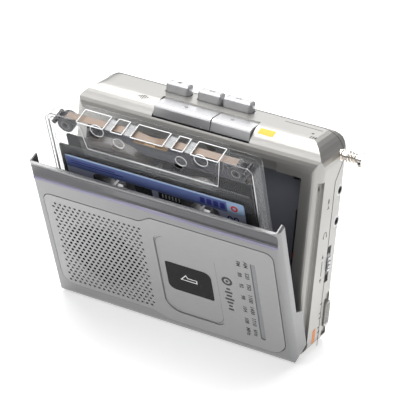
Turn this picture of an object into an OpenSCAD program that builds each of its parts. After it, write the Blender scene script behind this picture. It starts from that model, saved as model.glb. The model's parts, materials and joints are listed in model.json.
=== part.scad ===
// Portable cassette player and radio: front door hinged at its bottom edge, cassette held in the door.
// +X is to the right seen from the front, +Z is up, the front faces -Y.
// The origin is the middle of the face that the housing stands on.

/* [Body] */
// Width of the body
body_w = 122; // [118:1:126]
// Height of the body
body_h = 101; // [100:1:102]
// Rear face of the body, behind the origin
rear_y = 17; // [17:0.2:18]
// Rim that the closed door meets, in front of the origin
rim_y = -10.5; // [-10.5:0.1:-10.3]
// Wall thickness of the housing
wall = 1.6; // [1.4:0.1:1.8]

/* [Door] */
// Height of the door
door_h = 85.5; // [85:0.5:85.5]
// Outer face of the closed door
door_front_y = -17; // [-17.5:0.5:-17]
// Angle that the door stands open at rest
door_open = 24; // [15:1:26]
// Wall thickness of the door shell
door_wall = 1.4; // [1.2:0.1:1.6]
// Distance from the door's hinge pin to its bottom and to its front
hinge_r = 6; // [6:0.5:7]

/* [Cassette] */
// Width of the cassette
tape_w = 100.4; // [100:0.1:100.4]
// Height of the cassette
tape_h = 63.8; // [63:0.1:63.8]
// Thickness of the cassette's thin part
tape_t = 8.7; // [8.5:0.1:8.7]
// Thickness of the cassette's head end
tape_head_t = 12.1; // [11.9:0.1:12.1]
// Distance that the cassette stands raised out of the pocket at rest
tape_raise = 35; // [20:1:36]

/* [Controls] */
// Travel of the keys
key_travel = 2; // [1.6:0.2:2]
// Radius of the tuning wheel
wheel_r = 11; // [10:0.5:11]
// Length that the antenna's tip stands out of the housing
tip_out = 10; // [8:0.5:12]

/* [Hidden] */
$fn = 64;

half_w = body_w/2;
gap = 0.3;
tiny = 0.01;

// Housing outline
corner_r = 11;
foot_r = 6;
brow_r = 12;
back_r = 4;
front_edge_r = 5;
split_y = 6;

// Opening of the cassette well in the front of the housing
well_left = -54;
well_right = 52;
well_bottom = 10.5;
well_top = 86;
deck_y = 0;
deck_t = 1;
well_wall = 1.2;

// Groove in each side that takes the door's side arm
channel_depth = 1.7;
channel_back_y = -5.5;
channel_top = 85;

// Door hinge
hinge_y = door_front_y + hinge_r;
hinge_z = hinge_r;
pin_r = 1.5;

// Cassette when it is seated
tape_x = -0.9;
tape_bottom = 14;
tape_top = tape_bottom + tape_h;
tape_back_y = -2;
tape_mid_y = tape_back_y - tape_t/2;
tape_front_y = tape_back_y - tape_t;
head_end_h = 17;
hub_z = tape_top - 34.4;
hub_dx = 21.25;
shell_t = 1.1;
hub_hole_r = 5.6;
tape_openings = [[-27.5, 12.5], [-14.6, 5], [0, 15], [14.6, 5], [27.5, 12.5]];
ribbon_z = tape_top - 2.2;
roller_x = 41;
roller_z = tape_top - 6.2;
roller_r = 3.8;
pack_r = [23, 15];

// Keys and transport
key_x = [-22.4, 6, 25];
key_front_y = -8.5;
key_back_y = 1.2;
key_skirt_z = body_h - 6.4;
rear_key_x = [[-25.5, -13.5], [-9.5, 2.6], [3, 17.5]];
rear_key_y = [6.7, 12.1];
rear_key_bottom = body_h - 1 - key_travel;
rear_key_top = body_h + 2.6 + key_travel;
key_top = body_h - 0.6;
capstan_x = tape_x + 25;
capstan_z = tape_top - 3.4;
flywheel_r = 14;
flywheel_y = 4.5;
flywheel_t = 3;
motor_x = -20;
motor_z = 60;
motor_r = 10.5;
pulley_r = 4;

// Right side controls
jack_y = 12.4;
wheel_y = 8;
wheel_z = 41;
wheel_t = 2.6;
wheel_x = half_w + 0.9 - wheel_r;
jack_r = 1.8;
mic_jack_z = 75;
phone_jack_z = 60;
volume_z = 60;
volume_r = 9;
volume_x = -half_w - 0.9 + volume_r;
switch_y = [9, 15];
switch_z = [4.5, 25.5];
knob_l = 12;

// Antenna along the rear top edge
antenna_y = 11;
antenna_z = body_h - 9;
antenna_r = [2.7, 2.0, 1.3];
antenna_x0 = -46;

// Batteries lie one above the other behind the deck
cell_r = 7.1;
cell_l = 49.5;
cell_x0 = -55;
cell_y = 8.25;
cell_z = [10.4, 25.2];
cover_x = [-57.6, -3];
cover_z = [4, 32.6];

// Screws that join the housing halves
screw_xz = [[-57.7, 80], [57.6, 67.6], [-57.7, 38], [49, 6.8]];
screw_r = 0.95;
screw_head_r = 1.9;
boss_r = 2.1;
relief_y = -3.1;
boss_y = relief_y - 0.5;
shelf_z = 8.4;
lug_x = 52.3;
lug_w = 5;
jack_collar_r = 3;
belt_y = 2.9;
belt_lean = atan2(motor_z - capstan_z, motor_x - capstan_x);
belt_tilt = acos((flywheel_r - pulley_r)/norm([motor_x - capstan_x, motor_z - capstan_z]));
capstan_tip_y = -4.1;
spindle_tip_y = -3.9;
pinch_r = 2.6;
head_z = tape_top + 5.9;
pinch_z = head_z + 2.7;
head_front_y = rim_y + 2.3;
dial_x = 47.6;
dial_z = [22, 66];

// Springs: x, y, lowest z and length
ledge_z = key_skirt_z - 2.4;
spring_xy = [[-4, -4, ledge_z, 2.2], [13, -4, ledge_z, 2.2], [-19.5, 9.4, antenna_z + 3, 2.8],
    [-3.5, 9.4, antenna_z + 3, 2.8], [10, 9.4, antenna_z + 3, 2.8]];

// Front panel of the door
panel_x = [-56.5, 57];
panel_z = [7, 72];
window_x = [1.3, 24];
window_z = [29, 46.6];
surround_x = [-2, 27.4];
surround_z = [14, 62.5];
lens_x = 46.4;
lens_z = [13.4, 62];
speaker_x = -30;
speaker_z = 38;
speaker_r = 19.5;
grille_pitch = 2.5;
grille_r = 0.65;
grille_cols = 18;
grille_rows = 24;
grille_x0 = -52.2;
grille_z0 = 13.4;
label_z = [19, 55.4];
tape_screws = [[-45.6, 73.4], [45.6, 73.4], [-46, 18], [46, 18], [0, 57]];

silver = "#b9b7b2";
bright = "#d8d7d4";
dark = "#3a3e48";
steel = "#9a9ca0";
black = "#1c1c1e";
brass = "#b08d45";
copper = "#a8703f";
green = "#2f5a3a";
clear = [0.85, 0.88, 0.9, 0.35];
smoke = "#34363a";
brown = "#7a5a40";

// Points along an arc, in degrees
function arc(x, y, r, from, to, steps = 8) =
    [for (i = [0:steps]) let (a = from + (to - from)*i/steps) [x + r*cos(a), y + r*sin(a)]];

// Outline of a rectangle with its own radius at each corner: right top, left top, left bottom, right bottom
function rounded(x0, y0, x1, y1, r) = concat(
    arc(x1 - r[0], y1 - r[0], r[0], 0, 90), arc(x0 + r[1], y1 - r[1], r[1], 90, 180),
    arc(x0 + r[2], y0 + r[2], r[2], 180, 270), arc(x1 - r[3], y0 + r[3], r[3], 270, 360));

// Points of a smooth step between two places, without its ends
function ease(x0, y0, x1, y1, steps = 8) =
    [for (i = [1:steps - 1]) let (t = i/steps) [x0 + (x1 - x0)*t, y0 + (y1 - y0)*t*t*(3 - 2*t)]];

function backwards(list) = [for (i = [len(list) - 1:-1:0]) list[i]];

// An outline in x and z, extruded along y
module along_y(y0, y1) {
    translate([0, y1, 0]) rotate([90, 0, 0]) linear_extrude(y1 - y0) children();
}

// An outline in y and z, extruded along x
module along_x(x0, x1) {
    translate([x0, 0, 0]) rotate([90, 0, 90]) linear_extrude(x1 - x0) children();
}

// A round bar or hole along y, along x and along z
module bar_y(x, z, r, y0, y1) {
    translate([x, y1, z]) rotate([90, 0, 0]) cylinder(r = r, h = y1 - y0);
}
module bar_x(y, z, r, x0, x1) {
    translate([x0, y, z]) rotate([0, 90, 0]) cylinder(r = r, h = x1 - x0);
}
module bar_z(x, y, r, z0, z1) {
    translate([x, y, z0]) cylinder(r = r, h = z1 - z0);
}

// A ring around an axis along y
module ring_y(x, z, outer, inner, y0, y1) {
    difference() {
        bar_y(x, z, outer, y0, y1);
        bar_y(x, z, inner, y0 - 1, y1 + 1);
    }
}

// A block given by its lowest and highest corners
module block(low, high) {
    translate(low) cube(high - low);
}

// Where the open door stands, for pieces drawn as if it were closed
module at_door() {
    translate([0, hinge_y, hinge_z]) rotate([door_open, 0, 0]) translate([0, -hinge_y, -hinge_z]) children();
}

// Where the raised cassette stands, for pieces drawn as if it were seated in the closed door
module at_tape() {
    at_door() translate([tape_x, 0, tape_raise]) children();
}

// ---- Housing ----

// The housing's outer form, shrunk by an inset
module housing_form(inset) {
    r = max(back_r - inset, 1);
    front_r = front_edge_r - inset;
    intersection() {
        along_x(-half_w + inset, half_w - inset) polygon(concat(
            arc(rear_y - inset - r, body_h - inset - r, r, 0, 90, 6),
            arc(rim_y + brow_r, body_h - brow_r, brow_r - inset, 90, 180, 12),
            [[rim_y + inset, inset]],
            arc(rear_y - inset - r, inset + r, r, 270, 360, 6)));
        along_y(rim_y, rear_y) polygon(rounded(-half_w + inset, inset, half_w - inset,
            body_h - inset, [corner_r, corner_r, foot_r, foot_r] - [inset, inset, inset, inset]));
        linear_extrude(body_h) polygon(rounded(-half_w + inset, rim_y + inset, half_w - inset,
            rear_y - inset, [r, r, front_r, front_r]));
    }
}

// The part of space that belongs to the front half of the housing
module front_region() {
    along_x(-body_w, body_w) polygon([[-40, -1], [split_y, -1], [split_y, body_h - 20],
        [rear_y - 4, body_h - 11], [rear_y - 3.4, body_h + 20], [-40, body_h + 20]]);
}

// Space inside the housing, which stays behind the front wall, the hinge relief and the side grooves
module housing_space() {
    difference() {
        intersection() {
            housing_form(wall);
            along_x(-body_w, body_w) polygon([[rear_y, 0], [rear_y, body_h], [rim_y + 2.2, body_h],
                [rim_y + 2.2, shelf_z], [relief_y, shelf_z], [relief_y, 0]]);
        }
        for (x = [-half_w, half_w - channel_depth - 1.2])
            block([x, rim_y, 0], [x + channel_depth + 1.2, channel_back_y + 1.2, channel_top + 1.2]);
    }
}

// Slots and holes that both halves of the housing share
module control_cuts() {
    for (z = [mic_jack_z, phone_jack_z]) bar_x(jack_y, z, jack_collar_r + 0.1, half_w - 5, half_w + 1);
    block([half_w - 5, wheel_y - wheel_t/2 - 0.4, wheel_z - 8.8],
        [half_w + 1, wheel_y + wheel_t/2 + 0.4, wheel_z + 8.8]);
    block([-half_w - 1, wheel_y - wheel_t/2 - 0.4, volume_z - 8.2],
        [-half_w + 5, wheel_y + wheel_t/2 + 0.4, volume_z + 8.2]);
    block([half_w - 1.2, switch_y[0], switch_z[0]], [half_w + 1, switch_y[1], switch_z[1]]);
    block([half_w - 3, switch_y[0] + 2, switch_z[0] + 4], [half_w, switch_y[1] - 2, switch_z[1] - 4]);
    bar_x(antenna_y, antenna_z, antenna_r[0] + 0.1, half_w - 8, half_w + 1);
}

// An opening in the top around a key
module key_cut(x, y, r) {
    translate([0, 0, body_h - 13]) linear_extrude(14)
        polygon(rounded(x[0] - gap, y[0] - gap, x[1] + gap, y[1] + gap, [r, r, r, r]));
}

module housing_bosses(y0, y1, r) {
    for (p = screw_xz) bar_y(p[0], p[1], r, y0, y1);
}

module front_housing() {
    color(silver) difference() {
        union() {
            difference() {
                intersection() {
                    housing_form(0);
                    front_region();
                }
                housing_space();
                block([well_left, rim_y - 1, well_bottom], [well_right, rim_y + 4, well_top]);
                for (x = [-half_w - 1, half_w - channel_depth])
                    block([x, rim_y - 1, 1.2], [x + channel_depth + 1, channel_back_y, channel_top]);
                intersection() {
                    bar_x(hinge_y, hinge_z, hinge_r + gap, -body_w, body_w);
                    block([-body_w, -body_w, -1], [body_w, body_w, hinge_z + 1]);
                }
                for (x = [-half_w - 1, half_w - 3.5]) bar_x(hinge_y, hinge_z, 3.2 + gap, x, x + 4.5);
            }
            for (x = [-lug_x - lug_w, lug_x])
                block([x, hinge_y - 2.6, hinge_z - 2.6], [x + lug_w, rim_y + 1, hinge_z + 2.6]);
            housing_bosses(boss_y, split_y, boss_r);
            for (x = [spring_xy[0][0], spring_xy[1][0]])
                block([x - 2, rim_y + 1, ledge_z - 0.6], [x + 2, -2, ledge_z]);
        }
        for (x = [-lug_x - lug_w, lug_x]) bar_x(hinge_y, hinge_z, pin_r + 0.05, x - 1, x + lug_w + 1);
        housing_bosses(boss_y + 1.6, split_y + 1, screw_r);
        key_cut([key_x[0], key_x[2]], [key_front_y, key_back_y], 0.8);
        block([key_x[0] - gap, rim_y - 1, body_h - 6.6], [key_x[2] + gap, key_front_y + 1, body_h + 1]);
        key_cut(rear_key_x[0], rear_key_y, 2);
        key_cut([rear_key_x[1][0], rear_key_x[2][1]], rear_key_y, 2);
        bar_z(49, 4.2, 0.6, body_h - 3, body_h + 1);
        along_x(-40, 40) polygon([[rim_y - 1, 84], [rim_y + 1.2, 84], [rim_y + 0.9, 87],
            [rim_y + 0.3, 90], [rim_y - 1, 90]]);
        control_cuts();
        block([half_w - 4, channel_back_y - 2.4, channel_top - 4],
            [half_w - channel_depth + tiny, channel_back_y - 0.8, channel_top - 2]);
    }
}

module rear_housing() {
    color(silver) difference() {
        union() {
            difference() {
                housing_form(0);
                front_region();
                housing_space();
            }
            housing_bosses(split_y, rear_y - 1, boss_r);
        }
        housing_bosses(split_y - 1, rear_y + 1, screw_r + 0.1);
        housing_bosses(rear_y - 2.4, rear_y + 1, screw_head_r + 0.1);
        control_cuts();
        block([cover_x[0], rear_y - 4, cover_z[0]], [cover_x[1], rear_y + 1, cover_z[1]]);
    }
}

module housing_screws() {
    color(steel) for (p = screw_xz) difference() {
        union() {
            bar_y(p[0], p[1], screw_r, boss_y + 1.6, rear_y - 2.4);
            bar_y(p[0], p[1], screw_head_r, rear_y - 2.4, rear_y - 1.1);
        }
        block([p[0] - 1.2, rear_y - 1.7, p[1] - 0.25], [p[0] + 1.2, rear_y, p[1] + 0.25]);
        block([p[0] - 0.25, rear_y - 1.7, p[1] - 1.2], [p[0] + 0.25, rear_y, p[1] + 1.2]);
    }
}

// Dark tray behind the door: its floor is the deck that the spindles come through
module cassette_well() {
    color(dark) difference() {
        block([well_left - well_wall, rim_y + 2.3, well_bottom - well_wall],
            [well_right + well_wall, deck_y + deck_t, well_top + well_wall]);
        block([well_left, rim_y - 1, well_bottom], [well_right, deck_y, well_top]);
        bar_y(capstan_x, capstan_z, 2.2, deck_y - 1, deck_y + deck_t + 1);
        for (x = [tape_x - hub_dx, tape_x + hub_dx]) bar_y(x, hub_z, 4.2, deck_y - 1, deck_y + deck_t + 1);
        block([-34, rim_y - 1, well_top - 1], [32, deck_y - 0.4, well_top + 2]);
        block([dial_x - 0.9, deck_y - 1, dial_z[0]], [dial_x + 0.9, deck_y + deck_t + 1, dial_z[1]]);
        block([44, deck_y - 1, well_top - 6], [48, deck_y + deck_t + 1, well_top - 2]);
    }
}

// ---- Electronics ----

module circuit_board() {
    board_y = 13;
    color(green) difference() {
        block([1, board_y, 4], [45, board_y + 1.2, 82]);
        for (z = [9, 77]) bar_y(6, z, 1.3, board_y - 1, board_y + 2);
    }
    color(black) {
        block([6, board_y - 1.6, 62], [15, board_y, 72]);
        block([8, board_y - 1.9, 44], [16, board_y, 50]);
        block([8, board_y - 2.2, 16], [14, board_y, 26]);
        for (x = [20, 28, 36]) bar_y(x, 22, 2.5, board_y - 6.5, board_y);
    }
}

module headphone_jack() { color(black) jack(phone_jack_z); }
module microphone_jack() { color(black) jack(mic_jack_z); }
// A jack socket whose round collar shows in the side of the housing
module jack(z) {
    difference() {
        union() {
            bar_x(jack_y, z, jack_collar_r, half_w - 4.6, half_w - 0.1);
            block([half_w - 14, jack_y - 3.1, z - 3.1], [half_w - 4.6, jack_y + 2.6, z + 3.1]);
        }
        bar_x(jack_y, z, jack_r, half_w - 12.6, half_w + 1);
    }
}

module microphone() { color(steel) bar_z(49, 4.2, 2.4, body_h - 5.2, body_h - 2.1); }

module batteries() {
    color(copper) for (z = cell_z) {
        bar_x(cell_y, z, cell_r, cell_x0, cell_x0 + cell_l);
        bar_x(cell_y, z, 2.6, cell_x0 + cell_l, cell_x0 + cell_l + 1);
    }
}
module battery_contacts() {
    color(steel) for (z = cell_z) {
        block([cell_x0 - 1.1, cell_y - 3.5, z - 3.5], [cell_x0 - 0.6, cell_y + 3.5, z + 3.5]);
        block([cell_x0 + cell_l + 1, cell_y - 3.5, z - 3.5],
            [cell_x0 + cell_l + 1.5, cell_y + 3.5, z + 3.5]);
        translate([cell_x0 - 0.6, cell_y, z]) rotate([0, 90, 0]) rotate_extrude()
            translate([1.6, 0]) square([0.5, 0.55]);
    }
}
module battery_cover() {
    color(silver) difference() {
        block([cover_x[0] + gap, rear_y - 1.4, cover_z[0] + gap], [cover_x[1] - gap, rear_y, cover_z[1] - gap]);
        for (z = [14:2:22]) block([-52, rear_y - 0.4, z], [-44, rear_y + 1, z + 0.8]);
    }
}

// ---- Transport ----

module motor() {
    color(steel) difference() {
        union() {
            bar_y(motor_x, motor_z, motor_r, 5, 12.4);
            bar_y(motor_x, motor_z, 3.2, 4.4, 5);
        }
        bar_y(motor_x, motor_z, 0.85, 4, 8);
    }
}
module motor_pulley() {
    color(brass) {
        bar_y(motor_x, motor_z, pulley_r + 0.8, belt_y - 1.4, belt_y - 0.7);
        bar_y(motor_x, motor_z, pulley_r, belt_y - 0.7, belt_y + 0.7);
        bar_y(motor_x, motor_z, pulley_r + 0.8, belt_y + 0.7, belt_y + 1.3);
        bar_y(motor_x, motor_z, 0.8, belt_y + 1.3, 7.6);
    }
}

// Closed loop around the flywheel and the pulley, a little larger than both by a play
function belt_loop(play) = concat(
    arc(capstan_x, capstan_z, flywheel_r + play, belt_lean + belt_tilt, belt_lean + 360 - belt_tilt, 40),
    arc(motor_x, motor_z, pulley_r + play, belt_lean - belt_tilt, belt_lean + belt_tilt, 20));
module drive_belt() {
    color(black) along_y(belt_y - 0.4, belt_y + 0.4) difference() {
        polygon(belt_loop(0.9));
        polygon(belt_loop(0.15));
    }
}

// Flywheel with the capstan shaft in one piece
module flywheel() {
    color(brass) {
        bar_y(capstan_x, capstan_z, flywheel_r, belt_y - 0.8, belt_y + 0.8);
        bar_y(capstan_x, capstan_z, flywheel_r + 0.8, belt_y + 0.8, belt_y + 3.4);
        bar_y(capstan_x, capstan_z, 1.1, capstan_tip_y, belt_y - 0.8);
        bar_y(capstan_x, capstan_z, 1.1, belt_y + 3.4, 10.5);
    }
}

// A reel spindle: a post with three fins, on a thin disc behind the deck
module spindle(x) {
    bar_y(x, hub_z, 3, spindle_tip_y, deck_y + deck_t + 0.2);
    bar_y(x, hub_z, 8, deck_y + deck_t + 0.2, deck_y + deck_t + 1);
    for (a = [30, 150, 270]) translate([x, 0, hub_z]) rotate([0, a, 0])
        block([2.5, spindle_tip_y + 0.3, -0.45], [3.7, deck_y - 0.4, 0.45]);
}
module takeup_spindle() { color(bright) spindle(tape_x + hub_dx); }
module supply_spindle() { color(bright) spindle(tape_x - hub_dx); }

// Friction wheel between the two reel discs
module idler_wheel() {
    color(black) {
        bar_y(tape_x, hub_z, hub_dx - 8 - 0.05, deck_y + deck_t + 0.3, deck_y + deck_t + 0.9);
        bar_y(tape_x, hub_z, 1, deck_y + deck_t + 0.9, 5);
    }
}

// Sliding plate that carries the heads down into the cassette when play is pressed
module head_plate() {
    color(steel) {
        block([-32, -1.5, head_z + 3.9], [28, -0.7, head_z + 5.5]);
        block([-32, head_front_y, head_z + 3.9], [9, -1.5, head_z + 4.6]);
    }
}
module tape_head() {
    color(steel) block([tape_x - 6, head_front_y, head_z + 0.5], [tape_x + 6, -4.4, head_z + 3.9]);
    color(black) block([tape_x - 4.4, head_front_y + 0.3, head_z], [tape_x + 4.4, -4.7, head_z + 0.5]);
}
module erase_head() {
    color(black) block([tape_x - 29.5, head_front_y, head_z + 0.2], [tape_x - 25.5, -4.5, head_z + 3.9]);
}
module pinch_arm() {
    color(steel) {
        bar_y(capstan_x, pinch_z, 0.7, head_front_y, -1.5);
        block([capstan_x - 2, -1.5, pinch_z - 0.4], [capstan_x + 2, -0.7, head_z + 3.9]);
    }
}
module pinch_roller() { color(black) ring_y(capstan_x, pinch_z, pinch_r, 0.75, head_front_y + 0.1, -4.1); }

// ---- Keys ----

// A key of the front row: a slab with a rounded edge and a downturned front
module front_key(x0, x1) {
    color(bright) along_x(x0, x1) polygon(concat(
        [[key_back_y, key_skirt_z], [key_back_y, key_top - 0.5], [key_back_y - 0.5, key_top]],
        arc(key_front_y + 2.6, key_top - 2.2, 2.2, 90, 160, 5),
        [[key_front_y, body_h - 6], [key_front_y + 0.6, key_skirt_z + 0.6],
        [key_front_y + 1.6, key_skirt_z]]));
}
module play_key() { front_key(key_x[0], key_x[1] - 0.5); }
module record_key() { front_key(key_x[1], key_x[2]); }

// A key of the rear row: a tall button with rounded edges
module rear_key(x) {
    color(bright) intersection() {
        translate([0, 0, rear_key_bottom]) linear_extrude(20)
            polygon(rounded(x[0], rear_key_y[0], x[1], rear_key_y[1], [1.8, 1.8, 1.8, 1.8]));
        along_x(x[0], x[1]) polygon(rounded(rear_key_y[0], rear_key_bottom, rear_key_y[1],
            rear_key_top, [1.5, 1.5, 0.3, 0.3]));
        along_y(rear_key_y[0], rear_key_y[1]) polygon(rounded(x[0], rear_key_bottom, x[1],
            rear_key_top, [2.2, 2.2, 0.3, 0.3]));
    }
}
module stop_key() { rear_key(rear_key_x[0]); }
module rewind_key() { rear_key(rear_key_x[1]); }
module forward_key() { rear_key(rear_key_x[2]); }

// One short return spring under each key
module key_springs() {
    color(steel) for (p = spring_xy) translate([p[0], p[1], p[2]])
        rotate_extrude() translate([1, 0]) square([0.4, p[3]]);
}

// ---- Tuning, volume and band switch ----

// A thumb wheel with a notched edge
module thumb_wheel(x, z, r, step) {
    color(bright) difference() {
        bar_y(x, z, r, wheel_y - wheel_t/2, wheel_y + wheel_t/2);
        for (a = [0:step:359]) translate([x, 0, z]) rotate([0, a, 0])
            block([r - 0.35, wheel_y - wheel_t, -0.35], [r + 1, wheel_y + wheel_t, 0.35]);
        bar_y(x, z, 1.05, wheel_y - wheel_t, wheel_y + wheel_t);
    }
}
module tuning_wheel() { thumb_wheel(wheel_x, wheel_z, wheel_r, 10); }
module volume_wheel() { thumb_wheel(volume_x, volume_z, volume_r, 12); }
module tuning_capacitor() {
    color(bright) {
        bar_y(wheel_x, wheel_z, 1, wheel_y - wheel_t/2, wheel_y + wheel_t/2 + 0.3);
        block([wheel_x - 5, wheel_y + wheel_t/2 + 0.3, wheel_z - 5], [wheel_x + 5, 14.4, wheel_z + 5]);
        bar_y(volume_x, volume_z, 1, wheel_y - wheel_t/2, wheel_y + wheel_t/2 + 0.3);
        block([volume_x - 4.5, wheel_y + wheel_t/2 + 0.3, volume_z - 4.5], [volume_x + 4.5, 12, volume_z + 4.5]);
    }
}

// Pointer that runs in a slot of the deck as the tuning wheel turns
module dial_carriage() {
    z = (dial_z[0] + dial_z[1])/2;
    color("#c8512c") {
        block([dial_x - 0.6, deck_y - 0.3, z - 0.8], [dial_x + 0.6, deck_y + deck_t + 0.4, z + 0.8]);
        block([dial_x - 1.8, deck_y + deck_t + 0.4, z - 2], [dial_x + 1.8, deck_y + deck_t + 1.1, z + 2]);
    }
}

module band_switch_knob() {
    z = (switch_z[0] + switch_z[1] - knob_l)/2;
    color(silver) {
        along_x(half_w - 1, half_w + 0.8) polygon(rounded(switch_y[0] + 0.6, z, switch_y[1] - 0.6,
            z + knob_l, [1.2, 1.2, 1.2, 1.2]));
        block([half_w - 3.8, switch_y[0] + 2.4, z + 4.5], [half_w - 1, switch_y[1] - 2.4, z + 7.5]);
        for (i = [0:6]) block([half_w + 0.8, switch_y[0] + 1.4, z + 1.6 + 1.4*i],
            [half_w + 1.1, switch_y[1] - 1.4, z + 2.2 + 1.4*i]);
    }
}
module band_switch() {
    color(steel) difference() {
        block([half_w - 8, switch_y[0] - 0.5, switch_z[0] + 2], [half_w - 3.2, switch_y[1], switch_z[1] - 2]);
        block([half_w - 5, switch_y[0] + 2, switch_z[0] + 4], [half_w - 3, switch_y[1] - 2, switch_z[1] - 4]);
    }
}

// ---- Antenna: each section slides in the one before it ----

module antenna_tube() {
    color(bright) difference() {
        bar_x(antenna_y, antenna_z, antenna_r[0], antenna_x0, half_w);
        bar_x(antenna_y, antenna_z, antenna_r[1] + 0.05, antenna_x0 + 1, half_w + 1);
    }
}
module antenna_middle() {
    color(bright) difference() {
        bar_x(antenna_y, antenna_z, antenna_r[1], antenna_x0 + 1.3, half_w + 2.6);
        bar_x(antenna_y, antenna_z, antenna_r[2] + 0.05, antenna_x0 + 2, half_w + 4);
    }
}
module antenna_inner() {
    color(bright) bar_x(antenna_y, antenna_z, antenna_r[2], antenna_x0 + 2.3, half_w + tip_out - 3.4);
}
module antenna_tip() {
    color(bright) {
        bar_x(antenna_y, antenna_z, 1.9, half_w + tip_out - 3.4, half_w + tip_out - 1.6);
        bar_x(antenna_y, antenna_z, 3.4, half_w + tip_out - 1.6, half_w + tip_out);
    }
}

// ---- Door ----

// Side view of the door's front wall: rounded foot, flat face, hollow band and a lip at the top
function face_line(inset) = concat(arc(hinge_y, hinge_z, hinge_r - inset, 270, 180),
    [for (p = [[0, 10], [0.7, 8.2], [1.1, 6], [1.1, 4], [0.6, 2], [-0.2, 0.6], [-0.2, 0]])
    [door_front_y + p[0] + inset, door_h - p[1]]]);

// Outline of the front panel, grown by an edge
function panel_line(edge) = concat(
    arc(panel_x[1] - 8.3, panel_z[0] + 8.3, 8.3 + edge, 270, 360),
    arc(panel_x[1] - 4, panel_z[1] - 4, 4 + edge, 0, 90),
    [[-1, panel_z[1] + edge]], ease(-1, panel_z[1] + edge, -9, panel_z[1] - 4 + edge),
    [[-9, panel_z[1] - 4 + edge]],
    arc(panel_x[0] + 4, panel_z[1] - 8, 4 + edge, 90, 180),
    arc(panel_x[0] + 7, panel_z[0] + 10.3, 7 + edge, 180, 270),
    [[-11, panel_z[0] + 3.3 - edge]], ease(-11, panel_z[0] + 3.3 - edge, 0, panel_z[0] - edge),
    [[0, panel_z[0] - edge]]);

module door_shell() {
    color(silver) at_door() difference() {
        union() {
            intersection() {
                union() {
                    along_x(-half_w, half_w) polygon(concat(face_line(0), backwards(face_line(door_wall))));
                    for (x = [-half_w, half_w - door_wall]) along_x(x, x + door_wall) polygon(concat(
                        face_line(0), [[rim_y - gap, door_h], [rim_y - gap, 31],
                        [channel_back_y - 0.5, 27]], arc(hinge_y, hinge_z, 5, 0, -90)));
                }
                along_y(-30, 10) polygon(rounded(-half_w, 0, half_w, door_h, [1.5, 1.5, 6, 6]));
                linear_extrude(door_h) polygon(rounded(-half_w, door_front_y - 0.3, half_w, 10,
                    [0.5, 0.5, 3.5, 3.5]));
            }
            for (x = [-half_w + 1, half_w - 3.2]) bar_x(hinge_y, hinge_z, 3.2, x, x + 2.2);
        }
        along_y(-30, hinge_y - 2) polygon(panel_line(0.3));
        bar_x(hinge_y, hinge_z, pin_r, -half_w + 1.4, half_w - 1.4);
    }
}

module hinge_pins() {
    color(steel) at_door() for (x = [-half_w + 1.5, lug_x - 0.3])
        bar_x(hinge_y, hinge_z, pin_r, x, x + half_w - 1.2 - lug_x);
}

// Places of the loudspeaker holes, in rows that stagger; only those inside the speaker's circle go through
function grille_rows(open) = [for (row = [0:grille_rows - 1], col = [0:grille_cols - 1])
    let (x = grille_x0 + grille_pitch*(col + (row % 2)/2), z = grille_z0 + grille_pitch*row*sin(60),
        inside = norm([x - speaker_x, z - speaker_z]) < speaker_r - 1)
    if (inside == open) [x, z]];

module door_fascia() {
    back_y = door_front_y + 1.1;
    color("#c6c5c2") at_door() difference() {
        along_y(door_front_y - 0.15, back_y) difference() {
            polygon(panel_line(0));
            polygon(rounded(window_x[0], window_z[0], window_x[1], window_z[1], [3.6, 1.2, 3.6, 1.2]));
            polygon(rounded(lens_x - 1.2, lens_z[0], lens_x + 1.2, lens_z[1], [0.3, 0.3, 1.1, 1.1]));
            for (p = grille_rows(true)) translate(p) circle(r = grille_r, $fn = 16);
        }
        along_y(-30, door_front_y + 0.35)
            polygon(rounded(surround_x[0], surround_z[0], surround_x[1], surround_z[1], [7, 3.5, 8, 3.5]));
        along_y(-30, door_front_y + 0.45) for (p = grille_rows(false)) translate(p) circle(r = grille_r, $fn = 16);
    }
}

module door_window() {
    color(smoke) at_door() along_y(door_front_y + 0.45, door_front_y + 1.4)
        polygon(rounded(window_x[0] + 0.05, window_z[0] + 0.05, window_x[1] - 0.05, window_z[1] - 0.05,
        [3.55, 1.15, 3.55, 1.15]));
}
module dial_lens() {
    color("#8d8f92") at_door() along_y(door_front_y + 0.3, door_front_y + 1.3)
        polygon(rounded(lens_x - 1.15, lens_z[0] + 0.05, lens_x + 1.15, lens_z[1] - 0.05, [0.25, 0.25, 1.05, 1.05]));
}

// Inner panel of the door with the pocket that holds the cassette
module door_lining() {
    plate_y = tape_front_y - 2.5;
    rail_y = [plate_y, tape_back_y - 1.2];
    left = tape_x - tape_w/2;
    right = tape_x + tape_w/2;
    color(dark) at_door() difference() {
        union() {
            block([-half_w + 1.9, plate_y, 10], [half_w - 1.9, plate_y + 0.8, door_h - 4]);
            block([left - 1.9, rail_y[0], 12], [left - gap, rail_y[1], 56]);
            block([right + gap, rail_y[0], 12], [right + 1.9, rail_y[1], 56]);
            block([left - 1.9, rail_y[0], 12], [right + 1.9, rail_y[1], tape_bottom - gap]);
            block([left - 1.9, tape_back_y + 0.35, 12], [left + 2.5, tape_back_y + 1.1, 56]);
            block([right - 2.5, tape_back_y + 0.35, 12], [right + 1.9, tape_back_y + 1.1, 56]);
            block([left - 1.9, rail_y[1] - tiny, 12], [left - gap, tape_back_y + 0.4, 56]);
            block([right + gap, rail_y[1] - tiny, 12], [right + 1.9, tape_back_y + 0.4, 56]);
        }
        block([tape_x - 36, -30, tape_top - head_end_h - 1.5], [tape_x + 36, 0, door_h + 1]);
    }
}

// Slim loudspeaker behind the holes
module speaker() {
    back = tape_front_y - 2.6;
    color(black) at_door() {
        ring_y(speaker_x, speaker_z, speaker_r, speaker_r - 2, door_front_y + 1.2, back);
        bar_y(speaker_x, speaker_z, speaker_r - 2 - tiny, back - 0.7, back);
        bar_y(speaker_x, speaker_z, 6, back - 1.4, back - 0.7 + tiny);
    }
}

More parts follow.
